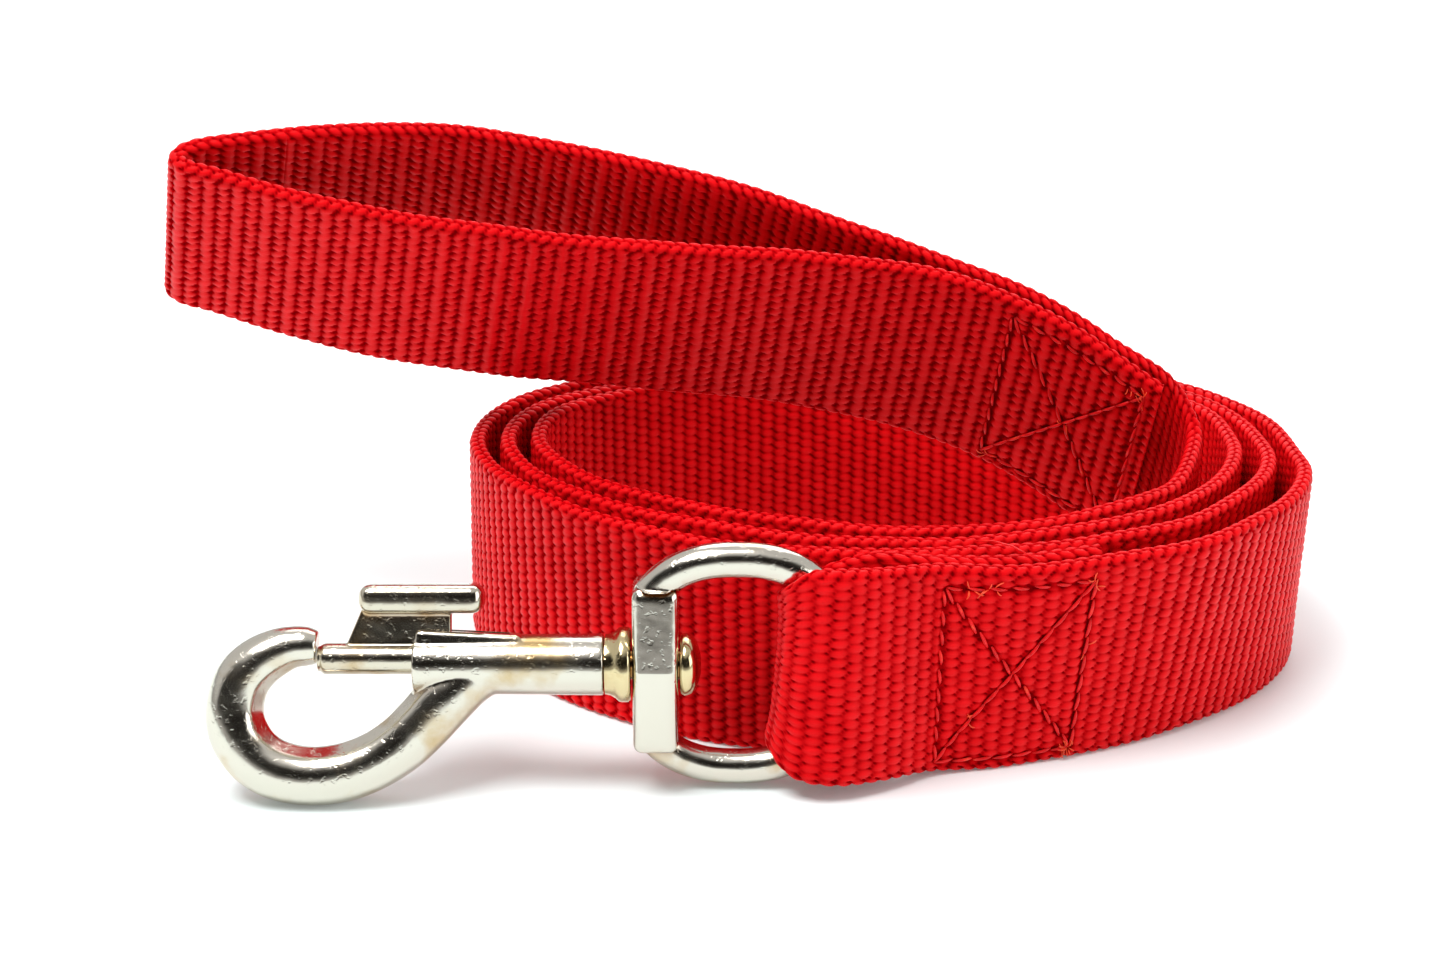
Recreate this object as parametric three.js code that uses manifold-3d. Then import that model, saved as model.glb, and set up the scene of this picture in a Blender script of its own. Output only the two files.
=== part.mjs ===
// A dog training leash at rest: a flat 25 mm nylon strap standing on edge in a loose oval coil,
// a sewn hand loop leaning over the coil, and a swivel bolt snap in a box-stitched fold.
// Millimetres, +Z up, X along the snap's barrel, origin under the middle of the leash.
import * as THREE from "three";
import { mergeVertices } from "three/addons/utils/BufferGeometryUtils.js";
import Module from "manifold-3d";

const wasm = await Module();
wasm.setup();
const radians = THREE.MathUtils.degToRad;
const blendOf = THREE.MathUtils.lerp;

// ---- driving dimensions -------------------------------------------------------------------
const STRAP_WIDTH = 25;
const STRAP_THICK = 2.1;
const GAP = 0.3; // clearance between neighbouring solids
const THREAD = 0.5; // height of a stitch line above the strap
const THREAD_HALF = 0.6; // half its width
const STITCH_TOP = 10.0; // the stitched box's edges, up and down from the strap's middle line
const STITCH_BOTTOM = -11.0;
const STITCH_STEPS = 8;

const CENTRE_X = 1.07; // moves the middle of the whole leash over the origin
const CENTRE_Y = 1.16;
const AXIS_Y = -36.3; // the snap's barrel axis, which runs along X
const AXIS_Z = 14.2;
const SNAP_ROLL = radians(19.5); // the hook's foot lies over, towards -Y
const BARREL = { left: -34.2, right: -13.9, radius: 3.0, tailRadius: 3.2, boreEnd: -15.6 };
const BOLT = { tip: -44.1, tail: -26.4, radius: 1.6, rise: 0.6, travel: 6 };
const BORE_RADIUS = BOLT.radius + GAP;
const WEB = { half: 0.7, top: 6.2, foot: -42.4, shoulder: -39.4, right: -30.3 };
const PAD = { left: -39.9, right: -26.7, low: 5.5, high: 8.6, half: 2.6 };
const SLOT = { half: WEB.half + GAP, end: WEB.right + BOLT.travel + GAP };
const RIM = { end: -23.2, half: 2.0, top: 3.8 };
const SPRING = { turns: 5, steps: 12, wire: 0.3, radius: 1.25, left: -26.1, right: -16.5 };
const SHANK = { left: -16.1, radius: 1.6 };
const COLLAR = { left: -13.6, right: -11.1, radius: 3.9 };
const BAND = { left: -10.8, right: -6.15, half: 3.9, low: 5.6, high: 22.9 };
const HEAD = { left: -5.85, right: -3.6, radius: 3.35 };
const EYE = { x: 0.2, wide: 11.2, high: 12, bar: 1.9, power: 2.4, open: 141 };

// Middle of the hook's bar from its tip round to the barrel, as [x, z, radius].
const HOOK = [
  [-44.5, 1.8, 1.9],
  [-46.6, 1.9, 2],
  [-48.6, 1.4, 2.3],
  [-50.9, 0.1, 2.6],
  [-52.6, -1.9, 2.8],
  [-53.3, -4.7, 2.9],
  [-52.9, -7.3, 3],
  [-51.4, -9.6, 3],
  [-49.0, -11.2, 3],
  [-45.6, -11.9, 2.95],
  [-42.0, -11.6, 2.95],
  [-38.6, -10.4, 2.9],
  [-35.6, -8.5, 2.9],
  [-33.2, -6.2, 2.95],
  [-30.9, -3.7, 3],
  [-28.2, -1.5, 2.7],
  [-25.6, -0.4, 2.3],
];

// ---- the strap's route ----------------------------------------------------------------------
// A point is x, y, z of the strap's middle, its top edge's x and y offset per unit of height, and,
// where the strap is squeezed, its width and how far its edges curl towards -X.
// The sewn fold that holds the snap's eye, from the strap's cut end round to the front.
const FOLD = [
  [38.4, -27.9, 12.6, 0.083, -0.124],
  [34.2, -29.3, 12.6, 0.067, -0.121],
  [29.2, -30.6, 12.6, 0.047, -0.113],
  [21.0, -32.3, 13.0, 0.02, -0.07],
  [15.6, -32.4, 13.8, 0, -0.02, 22.5, 1.4],
  [11.4, -32.4, 14.15, 0, 0, 18.6, 3.4],
  [8.6, -33.5, 14.15, 0, 0, 17.2, 4.9],
  [7.5, -36.3, 14.15, 0, 0, 16.8, 5],
  [8.6, -39.1, 14.15, 0, 0, 17.2, 4.9],
  [11.4, -40.2, 14.15, 0, 0, 18.6, 3.4],
  [16.0, -38.1, 13.8, 0, -0.02, 22.5, 1.4],
  [21.7, -34.9, 13.0, 0.02, -0.07],
];
// The coil, from the outside in: where each turn is foremost, furthest right, back and left.
const TURNS = [
  { front: [8.7, -34.7], right: [67.0, 2.7], back: [20.7, 39.7], left: [-31.4, 9.7] },
  { front: [13.7, -28.9], right: [63.6, 6.2], back: [20.7, 37.0], left: [-27.6, 8.7] },
  { front: [17.7, -25.7], right: [60.2, 9.2], back: [20.7, 34.2], left: [-23.9, 9.7] },
  { front: [21.7, -22.5], right: [57.0, 12.2] },
];
const SQUARENESS = [1.85, 2.3, 2.1, 1.8]; // superellipse powers of the quarters, from the front
const LEAN = [4, 10, 0, 0, 0, 0, -1, 2]; // degrees outwards at each eighth of a turn
const TURN_LEAN = [1, 0.8, 0.6, 0.4]; // how much of that lean each turn has
const QUARTER_STEPS = 8;
const COIL_START = 2; // the step where the fold's front layer has become the coil
const COIL_END = 6; // the step of the last quarter where the strap rises to the hand loop
// The hand loop, up from the coil, back along the top, round its left end and forwards again.
const HAND_LOOP = [
  [54.9, 5.2, 14.0, 0.03, -0.08],
  [53.4, 9.6, 17.6, 0.08, -0.22],
  [50.4, 10.9, 21.2, 0.12, -0.32],
  [44.7, 11.1, 25.0, 0.13, -0.36],
  [38.9, 12.0, 28.7, 0.13, -0.38],
  [30.6, 13.6, 32.8, 0.13, -0.41],
  [20.1, 15.3, 36.6, 0.13, -0.44],
  [10.8, 17.9, 39.8, 0.14, -0.52],
  [1.7, 20.3, 42.6, 0.15, -0.56],
  [-6.3, 21.5, 44.8, 0.16, -0.58],
  [-15.5, 22.2, 46.9, 0.17, -0.6],
  [-24.8, 22.8, 48.8, 0.19, -0.6],
  [-34.1, 22.7, 50.2, 0.2, -0.6],
  [-42.3, 21.6, 50.9, 0.21, -0.61],
  [-50.3, 19.5, 51.2, 0.23, -0.64],
  [-59.3, 16.5, 51.3, 0.23, -0.67],
  [-65.0, 14.9, 50.8, 0.23, -0.67],
  [-66.9, 13.0, 49.9, 0.23, -0.67],
  [-65.3, 11.3, 49.1, 0.23, -0.67],
  [-61.1, 10.5, 48.2, 0.23, -0.67],
  [-51.7, 9.7, 45.4, 0.23, -0.64],
  [-39.9, 9.1, 42.9, 0.21, -0.6],
  [-27.9, 9.3, 41.2, 0.19, -0.59],
  [-16.0, 10.1, 39.7, 0.17, -0.6],
  [-4.1, 10.8, 38.4, 0.15, -0.57],
  [8.0, 11.5, 37.1, 0.14, -0.53],
  [20.1, 11.3, 35.2, 0.14, -0.44],
  [30.0, 10.8, 32.2, 0.13, -0.41],
  [38.6, 9.2, 27.9, 0.13, -0.38],
  [49.7, 7.9, 20.6, 0.12, -0.34],
];

// A quarter of a rounded oval between two neighbouring extremes of the coil.
function quarterTurn(turn, quarter, start, end) {
  const points = [];
  const power = 2 / SQUARENESS[quarter];
  const half = STRAP_WIDTH / 2;
  for (let step = 0; step < QUARTER_STEPS; step++) {
    const part = step / QUARTER_STEPS;
    const sine = Math.sin((part * Math.PI) / 2) ** power;
    const cosine = Math.cos((part * Math.PI) / 2) ** power;
    const sideways = quarter % 2 === 0;
    const x = sideways ? blendOf(start[0], end[0], sine) : blendOf(end[0], start[0], cosine);
    const y = sideways ? blendOf(end[1], start[1], cosine) : blendOf(start[1], end[1], sine);
    const eighth = 2 * quarter + (part < 0.5 ? 0 : 1);
    const lean = blendOf(LEAN[eighth], LEAN[(eighth + 1) % LEAN.length], (2 * part) % 1);
    const tilt = radians(lean * TURN_LEAN[turn]);
    const bearing = (Math.PI / 2) * (quarter + part - 1);
    const out = [Math.cos(bearing) * Math.tan(tilt), Math.sin(bearing) * Math.tan(tilt)];
    const rise = half * Math.cos(tilt) + (STRAP_THICK / 2) * Math.abs(Math.sin(tilt));
    points.push([x + out[0] * rise, y + out[1] * rise, rise, ...out]);
  }
  return points;
}

function coil() {
  const extremes = TURNS.flatMap((turn) => Object.values(turn));
  const quarters = extremes.slice(1).map((end, k) => quarterTurn(k >> 2, k % 4, extremes[k], end));
  const points = quarters.flat();
  return points.slice(COIL_START, points.length - QUARTER_STEPS + COIL_END);
}

const COIL = coil();
const ROUTE = [...FOLD, ...COIL, ...HAND_LOOP];
const curveOf = (pick) => {
  const points = ROUTE.map((point) => new THREE.Vector3(...pick(point)));
  return new THREE.CatmullRomCurve3(points, false, "catmullrom", 0.5);
};
const MIDDLE = curveOf(([x, y, z]) => [x, y, z]);
const EDGE = curveOf((point) => [point[3], point[4], 1]);
const SQUEEZE = curveOf((point) => [point[5] ?? STRAP_WIDTH, point[6] ?? 0, 0]);

// The strap at a place on its route, counted in points: middle, width and thickness directions.
function station(place) {
  const share = place / (ROUTE.length - 1);
  const squeeze = SQUEEZE.getPoint(share);
  const wide = EDGE.getPoint(share).normalize();
  const thick = MIDDLE.getTangent(share).cross(wide).normalize();
  return { point: MIDDLE.getPoint(share), wide, thick, width: squeeze.x, curl: squeeze.y };
}

// A point of the strap: across from its middle line, and out along its thickness.
function strapPoint({ point, wide, thick, width, curl }, across, out) {
  const shift = curl * Math.abs((2 * across) / width) ** 3;
  const place = point.clone().addScaledVector(wide, across).addScaledVector(thick, out);
  return place.setX(place.x - shift);
}

// ---- shapes -----------------------------------------------------------------------------------
// A closed skin over rings of points, each ring right-handed about the way to the next.
function loft(rings) {
  const count = rings[0].length;
  const last = (rings.length - 1) * count;
  const index = [];
  for (let base = 0; base < last; base += count) {
    for (let side = 0; side < count; side++) {
      const a = base + side;
      const b = base + ((side + 1) % count);
      index.push(a, b, a + count, b, b + count, a + count);
    }
  }
  for (let near = 0; near < count / 2 - 1; near++) {
    const far = count - 1 - near;
    index.push(near, far, near + 1, near + 1, far, far - 1);
    index.push(last + near, last + near + 1, last + far);
    index.push(last + near + 1, last + far - 1, last + far);
  }
  const geometry = new THREE.BufferGeometry();
  const position = rings.flat().flatMap((point) => point.toArray());
  geometry.setAttribute("position", new THREE.Float32BufferAttribute(position, 3));
  return geometry.setIndex(index);
}

// A stretch of strap between two places on the route, with so many columns across.
function strap(from, to, columns = 1, perPoint = 2) {
  const count = Math.ceil((to - from) * perPoint);
  const rings = [];
  for (let k = 0; k <= count; k++) {
    const here = station(blendOf(from, to, k / count));
    const row = (out) => {
      const across = (column) => here.width * (column / columns - 0.5);
      return Array.from({ length: columns + 1 }, (_, column) => strapPoint(here, across(column), out));
    };
    rings.push([...row(STRAP_THICK / 2).reverse(), ...row(-STRAP_THICK / 2)]);
  }
  return loft(rings);
}

// A stitched box with its cross on one face of the strap, as raised lines of thread.
function boxStitch(from, to, side) {
  const long = station(from).point.distanceTo(station(to).point);
  const near = side * (STRAP_THICK / 2 + GAP);
  const far = near + side * THREAD;
  const line = (start, end) => {
    const way = new THREE.Vector2().subVectors(end, start).normalize();
    const beside = new THREE.Vector2(-way.y, way.x).multiplyScalar(THREAD_HALF * side);
    const ends = [start.clone().addScaledVector(way, -0.4), end.clone().addScaledVector(way, 0.4)];
    const rings = [];
    for (let step = 0; step <= STITCH_STEPS; step++) {
      const spot = ends[0].clone().lerp(ends[1], step / STITCH_STEPS);
      const corner = (edge, out) => {
        const place = spot.clone().addScaledVector(beside, edge);
        return strapPoint(station(blendOf(from, to, place.x / long)), place.y, out);
      };
      rings.push([corner(-1, near), corner(1, near), corner(1, far), corner(-1, far)]);
    }
    return loft(rings);
  };
  const [a, b] = [new THREE.Vector2(0, STITCH_BOTTOM), new THREE.Vector2(long, STITCH_BOTTOM)];
  const [c, d] = [new THREE.Vector2(long, STITCH_TOP), new THREE.Vector2(0, STITCH_TOP)];
  return joined([line(a, b), line(b, c), line(c, d), line(d, a), line(a, c), line(b, d)]);
}

// A round bar in the XZ plane through points of [x, z, radius].
function bar(points, sides) {
  const rings = points.map(([x, z, radius], k) => {
    const [before, after] = [points[Math.max(k - 1, 0)], points[Math.min(k + 1, points.length - 1)]];
    const along = new THREE.Vector3(after[0] - before[0], 0, after[1] - before[1]).normalize();
    const across = new THREE.Vector3(0, 1, 0);
    const up = along.clone().cross(across);
    return Array.from({ length: sides }, (_, side) => {
      const angle = (2 * Math.PI * side) / sides;
      const place = new THREE.Vector3(x, 0, z).addScaledVector(across, radius * Math.cos(angle));
      return place.addScaledVector(up, radius * Math.sin(angle));
    });
  });
  return loft(rings);
}

// A turned piece on the X axis, from its outline of [x, radius] points.
function turned(outline, sides = 32) {
  const profile = outline.map(([x, radius]) => new THREE.Vector2(radius, x));
  return new THREE.LatheGeometry(profile, sides).rotateZ(-Math.PI / 2);
}

// An upright block with rounded corners in plan.
function roundBlock({ left, right, half, low, high }, corner) {
  const shape = new THREE.Shape();
  shape.absarc(right - corner, half - corner, corner, 0, Math.PI / 2);
  shape.absarc(left + corner, half - corner, corner, Math.PI / 2, Math.PI);
  shape.absarc(left + corner, corner - half, corner, Math.PI, 1.5 * Math.PI);
  shape.absarc(right - corner, corner - half, corner, 1.5 * Math.PI, 2 * Math.PI);
  const options = { depth: high - low, bevelEnabled: false, curveSegments: 5 };
  return new THREE.ExtrudeGeometry(shape, options).translate(0, 0, low);
}

// ---- booleans -----------------------------------------------------------------------------------
function solidOf(geometry) {
  const bare = geometry.clone();
  bare.deleteAttribute("normal");
  bare.deleteAttribute("uv");
  const merged = mergeVertices(bare, 1e-4);
  const vertProperties = merged.attributes.position.array;
  const triVerts = new Uint32Array(merged.index.array);
  return new wasm.Manifold(new wasm.Mesh({ numProp: 3, vertProperties, triVerts }));
}

function geometryOf(solid) {
  const mesh = solid.getMesh();
  const geometry = new THREE.BufferGeometry();
  geometry.setAttribute("position", new THREE.BufferAttribute(mesh.vertProperties, 3));
  return geometry.setIndex(new THREE.BufferAttribute(mesh.triVerts, 1));
}

const joined = (shapes) => geometryOf(shapes.map(solidOf).reduce((all, next) => all.add(next)));
const cut = (shape, tools) => {
  return geometryOf(tools.map(solidOf).reduce((left, tool) => left.subtract(tool), solidOf(shape)));
};

// ---- the snap's pieces ----------------------------------------------------------------------------
function snapBody() {
  const barrel = turned([
    [BARREL.left, 0],
    [BARREL.left, BARREL.radius - 0.3],
    [BARREL.left + 0.4, BARREL.radius],
    [BARREL.right, BARREL.tailRadius],
    [BARREL.right, 0],
  ]);
  const rim = roundBlock({ ...RIM, left: BARREL.left + GAP, right: RIM.end, low: 1, high: RIM.top }, 0.9);
  const bore = turned([
    [BARREL.left - 2, 0],
    [BARREL.left - 2, BORE_RADIUS],
    [BARREL.boreEnd, BORE_RADIUS],
    [BARREL.boreEnd, 0],
  ]).translate(0, 0, BOLT.rise);
  const shankHole = turned([
    [BARREL.boreEnd - 1, 0],
    [BARREL.boreEnd - 1, SHANK.radius + GAP],
    [BARREL.right + 1, SHANK.radius + GAP],
    [BARREL.right + 1, 0],
  ]);
  const slotLong = SLOT.end - BARREL.left + 2;
  const slot = new THREE.BoxGeometry(slotLong, 2 * SLOT.half, RIM.top + 1);
  slot.translate(SLOT.end - slotLong / 2, 0, (RIM.top + 1) / 2 + BOLT.rise);
  return cut(joined([barrel, bar(HOOK, 16), rim]), [bore, shankHole, slot]);
}

function slideBolt() {
  const { tip, tail, radius, rise } = BOLT;
  const rod = turned([
    [tip, 0],
    [tip, radius - 0.7],
    [tip + 0.25, radius - 0.25],
    [tip + 0.8, radius],
    [tail, radius],
    [tail, 0],
  ]).translate(0, 0, rise);
  const side = new THREE.Shape();
  side.moveTo(WEB.foot, rise);
  side.lineTo(WEB.right, rise);
  side.lineTo(WEB.right, WEB.top);
  side.lineTo(WEB.shoulder, WEB.top);
  side.lineTo(WEB.foot, rise + radius - 0.1);
  const web = new THREE.ExtrudeGeometry(side, { depth: 2 * WEB.half, bevelEnabled: false });
  web.translate(0, 0, -WEB.half).rotateX(Math.PI / 2);
  return joined([rod, web, roundBlock(PAD, 2)]);
}

function boltSpring() {
  const { turns, wire, radius, left, right } = SPRING;
  const all = SPRING.steps * turns;
  const long = right - left - 2 * wire;
  const points = Array.from({ length: all + 1 }, (_, k) => {
    const angle = (2 * Math.PI * k) / SPRING.steps;
    const x = left + wire + (long * k) / all;
    return new THREE.Vector3(x, radius * Math.cos(angle), BOLT.rise + radius * Math.sin(angle));
  });
  const section = new THREE.Shape().absarc(0, 0, wire, 0, 2 * Math.PI);
  const extrudePath = new THREE.CatmullRomCurve3(points);
  return new THREE.ExtrudeGeometry(section, { steps: all, curveSegments: 3, extrudePath });
}

const swivelStud = () =>
  turned([
    [SHANK.left, 0],
    [SHANK.left, SHANK.radius],
    [COLLAR.left, SHANK.radius],
    [COLLAR.left, COLLAR.radius - 0.5],
    [COLLAR.left + 0.5, COLLAR.radius],
    [COLLAR.right - 0.5, COLLAR.radius],
    [COLLAR.right, COLLAR.radius - 0.5],
    [COLLAR.right, SHANK.radius],
    [HEAD.left, SHANK.radius],
    [HEAD.left, HEAD.radius - 0.3],
    [HEAD.left + 0.4, HEAD.radius],
    [HEAD.left + 1.2, HEAD.radius - 0.1],
    [HEAD.right - 0.4, HEAD.radius - 1],
    [HEAD.right, 0],
  ]);

// The eye is a rounded ring whose snap side is a flat band with the stud's hole.
function swivelEye() {
  const steps = 36;
  const ring = Array.from({ length: steps + 1 }, (_, k) => {
    const angle = radians(blendOf(EYE.open, -EYE.open, k / steps));
    const along = Math.sign(Math.cos(angle)) * Math.abs(Math.cos(angle)) ** (2 / EYE.power);
    const up = Math.sign(Math.sin(angle)) * Math.abs(Math.sin(angle)) ** (2 / EYE.power);
    return [EYE.x + EYE.wide * along, AXIS_Z + EYE.high * up, EYE.bar];
  });
  const hole = turned([
    [BAND.left - 1, 0],
    [BAND.left - 1, SHANK.radius + GAP],
    [BAND.right + 1, SHANK.radius + GAP],
    [BAND.right + 1, 0],
  ]).translate(0, 0, AXIS_Z);
  return cut(joined([bar(ring, 14), roundBlock(BAND, 1.4)]), [hole]);
}

// ---- the assembly -----------------------------------------------------------------------------------
const NYLON = { color: 0xd81a20, roughness: 0.7, metalness: 0 };
const STITCHING = { color: 0xe0281e, roughness: 0.6, metalness: 0 };
const NICKEL = { color: 0xb9b4aa, roughness: 0.25, metalness: 1 };
const BRASSY = { color: 0xb08a4c, roughness: 0.3, metalness: 1 };
const STEEL = { color: 0x8e8c88, roughness: 0.35, metalness: 1 };

function piece(name, geometry, look) {
  const mesh = new THREE.Mesh(geometry, new THREE.MeshStandardMaterial(look));
  mesh.name = name;
  return mesh;
}

// The strap is one length of webbing. Its stretches are separate solids that meet end to end.
const loopStart = FOLD.length + COIL.length;
const routeEnd = ROUTE.length - 1;
const turnEnds = [1, 2, 3].map((turn) => FOLD.length - COIL_START + 4 * QUARTER_STEPS * turn);
const STRETCHES = [
  ["webbing_hook_end", 0, FOLD.length + 1.3, 10],
  ["webbing_outer_turn", FOLD.length + 1.3, turnEnds[0], 1],
  ["webbing_second_turn", turnEnds[0], turnEnds[1], 1],
  ["webbing_third_turn", turnEnds[1], turnEnds[2], 1],
  ["webbing_riser", turnEnds[2], loopStart + 5.2, 1],
  ["webbing_hand_loop_back", loopStart + 5.2, loopStart + 14.5, 1],
  ["webbing_hand_loop_front", loopStart + 14.5, routeEnd, 1],
];
const trim = (place) => GAP / 2 / station(place).point.distanceTo(station(place + 1).point);
const HOOK_BOX = [FOLD.length - 1, FOLD.length + 0.72];
const HAND_BOX = [routeEnd - 1.75, routeEnd - 0.16];
const HAND_BOX_BACK = [loopStart + 2.45, loopStart + 4.8];

const leash = new THREE.Group();
leash.position.set(CENTRE_X, CENTRE_Y, 0);
for (const [name, from, to, columns] of STRETCHES) {
  const start = from === 0 ? 0 : from + trim(from);
  const end = to === routeEnd ? routeEnd : to - trim(to);
  leash.add(piece(name, strap(start, end, columns), NYLON));
}
leash.add(piece("stitch_hook_box", boxStitch(...HOOK_BOX, 1), STITCHING));
leash.add(piece("stitch_hand_box_front", boxStitch(...HAND_BOX, 1), STITCHING));
leash.add(piece("stitch_hand_box_back", boxStitch(...HAND_BOX_BACK, 1), STITCHING));

const snap = new THREE.Group();
snap.position.set(0, AXIS_Y, AXIS_Z);
snap.rotation.x = -SNAP_ROLL;
snap.add(piece("snap_body", snapBody(), NICKEL));
snap.add(piece("slide_bolt", slideBolt(), BRASSY));
snap.add(piece("bolt_spring", boltSpring(), STEEL));
snap.add(piece("swivel_stud", swivelStud(), BRASSY));
leash.add(snap);

const eye = piece("swivel_eye", swivelEye(), NICKEL);
eye.position.y = AXIS_Y;
leash.add(eye);

export default leash;
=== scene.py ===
# %% [markdown]
# # A dog training leash
# A leash is one flat strap of woven nylon, sewn back on itself at both ends: at one end round the eye
# of a swivel snap, at the other into a hand loop. Here it lies coiled with its lower edge on a table.
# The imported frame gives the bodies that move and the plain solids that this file's pieces stand for.
# Lengths on the leash are written in millimetres, in the drawing's own frame, and turned to metres once.
# The lamps, the table and the noises' scales are in metres.

# %% Load the frame
import math

import bpy
import numpy as np
from mathutils import Matrix, Vector


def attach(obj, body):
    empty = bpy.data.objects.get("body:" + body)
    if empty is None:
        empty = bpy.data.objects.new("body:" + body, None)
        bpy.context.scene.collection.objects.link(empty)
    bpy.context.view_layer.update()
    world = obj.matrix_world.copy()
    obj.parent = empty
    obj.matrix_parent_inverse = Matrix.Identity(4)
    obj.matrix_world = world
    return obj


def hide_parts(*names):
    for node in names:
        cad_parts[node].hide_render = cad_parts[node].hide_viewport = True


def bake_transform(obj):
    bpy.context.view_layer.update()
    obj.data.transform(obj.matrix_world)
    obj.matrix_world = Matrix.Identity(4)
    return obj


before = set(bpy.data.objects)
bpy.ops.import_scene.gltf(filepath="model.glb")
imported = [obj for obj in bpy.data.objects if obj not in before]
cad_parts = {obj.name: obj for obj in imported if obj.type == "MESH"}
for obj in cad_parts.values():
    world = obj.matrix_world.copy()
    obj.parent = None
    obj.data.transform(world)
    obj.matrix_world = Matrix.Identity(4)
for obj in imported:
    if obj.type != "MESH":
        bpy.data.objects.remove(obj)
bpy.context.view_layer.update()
MM = 0.001
CENTRE = Vector((1.07, 1.16, 0))  # the drawing's own origin, from the middle of the leash

# %% [markdown]
# ## Camera, table and light
# The leash is seen from a little above. A long lens keeps its shapes true. The table is a pale sheet under
# soft lamps, with a painted glow and a faint cyan tint painted in against the strap's pink bounce light. The
# world is white behind and overhead but dark in front, where the viewer stands, because polished metal shows
# what is
# round it: the dark part gives the snap its black bands.

# %% Camera
VIEW_FROM = Vector((-0.23, -289.14, 127.4)) * MM
VIEW_DOWN = 20
camera_data = bpy.data.cameras.new("camera")
camera_data.lens = 64.78
camera_data.sensor_width = 36
camera_data.clip_start = 0.01
camera = bpy.data.objects.new("camera", camera_data)
camera.location = VIEW_FROM
camera.rotation_euler = (math.radians(90 - VIEW_DOWN), 0, 0)
bpy.context.collection.objects.link(camera)
bpy.context.scene.camera = camera
bpy.context.scene.view_settings.view_transform = "Standard"  # so that the dyed red keeps its strength


# %% Helpers for nodes and colours
def linear(code):
    """An sRGB colour such as "E4101A" as linear red, green, blue and alpha."""
    parts = [int(code[k : k + 2], 16) / 255 for k in (0, 2, 4)]
    return [p / 12.92 if p <= 0.04045 else ((p + 0.055) / 1.055) ** 2.4 for p in parts] + [1]


def add_node(tree, kind, links=None, **settings):
    """Adds a node, gives it its settings and input values, and links its inputs."""
    node = tree.nodes.new(kind)
    for name, value in settings.items():
        if hasattr(node, name):
            setattr(node, name, value)
    for name, value in (links or {}).items():
        if isinstance(value, bpy.types.NodeSocket):
            tree.links.new(value, node.inputs[name])
        else:
            node.inputs[name].default_value = value
    return node


def ramp(tree, fac, *stops):
    """A colour ramp between stops of (place, sRGB code)."""
    node = add_node(tree, "ShaderNodeValToRGB", {"Fac": fac})
    for k, (place, code) in enumerate(stops):
        stop = node.color_ramp.elements[k] if k < 2 else node.color_ramp.elements.new(place)
        stop.position = place
        stop.color = linear(code)
    return node.outputs["Color"]


def mix(tree, fac, first, second):
    """One colour, a socket or an sRGB code, at 0 and the other at 1."""
    node = add_node(tree, "ShaderNodeMix", data_type="RGBA")
    for place, value in ((0, fac), (6, first), (7, second)):
        if isinstance(value, str):
            node.inputs[place].default_value = linear(value)
        else:
            tree.links.new(value, node.inputs[place])
    return node.outputs[2]


def new_material(name):
    """A material with its shader, ready to be given values and links."""
    material = bpy.data.materials.new(name)
    material.use_nodes = True
    return material, material.node_tree, material.node_tree.nodes["Principled BSDF"]


# %% Table, lamps and world
table_material, tree, shader = new_material("white table")
# a faint cyan, painted in to offset the pink light that the strap bounces into the table's shadows
shader.inputs["Base Color"].default_value = linear("E6F0F0")
shader.inputs["Roughness"].default_value = 0.75
shader.inputs["Emission Color"].default_value = linear("FFFFFF")
# a painted glow, so that the table stays pale where the strap shades it
shader.inputs["Emission Strength"].default_value = 0.12  # it stays pale where the strap shades it
bpy.ops.mesh.primitive_plane_add(size=6)
table = bpy.context.object
table.name = "table"
table.data.materials.append(table_material)


def lamp(name, place, size, power, aim=(0, 0, 0.02)):
    """A square soft lamp in metres and watts, turned to its aim."""
    data = bpy.data.lights.new(name, "AREA")
    data.size = size
    data.energy = power
    obj = bpy.data.objects.new(name, data)
    obj.location = place
    obj.rotation_euler = (Vector(aim) - Vector(place)).to_track_quat("-Z", "Y").to_euler()
    bpy.context.collection.objects.link(obj)


lamp("key lamp", (-0.25, -0.22, 0.8), 0.4, 7.0)
lamp("fill lamp", (0.75, -0.3, 0.35), 0.5, 2.0)
lamp("back lamp", (0.1, 0.6, 0.6), 0.6, 2.6)

world = bpy.data.worlds.new("studio")
bpy.context.scene.world = world
world.use_nodes = True
tree = world.node_tree
background = tree.nodes["Background"]
direction = add_node(tree, "ShaderNodeTexCoord").outputs["Generated"]
sides = add_node(tree, "ShaderNodeSeparateXYZ", {"Vector": direction})


def from_zero_to_one(value):
    """A direction's part, from -1 to 1, moved to 0 to 1 for a ramp."""
    moved = add_node(tree, "ShaderNodeMapRange", {"Value": value, "From Min": -1.0, "From Max": 1.0})
    return moved.outputs[0]


height = from_zero_to_one(sides.outputs["Z"])
FRONT_GREYS = [
    (0.0, "D8D8D8"),
    (0.54, "D0D0D0"),
    (0.6, "4A4844"),
    (0.7, "181614"),
    (0.84, "3A3834"),
    (0.94, "FFFFFF"),
]
front = ramp(tree, height, *FRONT_GREYS)
behind = ramp(tree, height, (0.0, "E0E0E0"), (0.5, "A8A8A8"), (0.6, "F4F4F4"))
turned_away = ramp(tree, from_zero_to_one(sides.outputs["Y"]), (0.3, "000000"), (0.42, "FFFFFF"))
seen = add_node(tree, "ShaderNodeLightPath").outputs["Is Camera Ray"]
studio = mix(tree, turned_away, front, behind)
tree.links.new(mix(tree, seen, studio, "FFFFFF"), background.inputs["Color"])
background.inputs["Strength"].default_value = 0.75

# %% [markdown]
# ## The strap's route
# The strap's middle line is settled in the drawing, so it is repeated here: a fold round the snap's eye,
# a coil of flattened ovals, and a hand loop. Only the fold is drawn closer round the eye here, as real
# webbing lies, where the drawing leaves the eye room to turn. Each point also says how the strap leans,
# because it stands on edge and twists as it rises. One smooth curve goes through all the points, and it
# is then cut into even steps along its length, so that the weave keeps its size all the way.

# %% Route points
STRAP_WIDTH = 25
STRAP_THICK = 2.1
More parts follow.
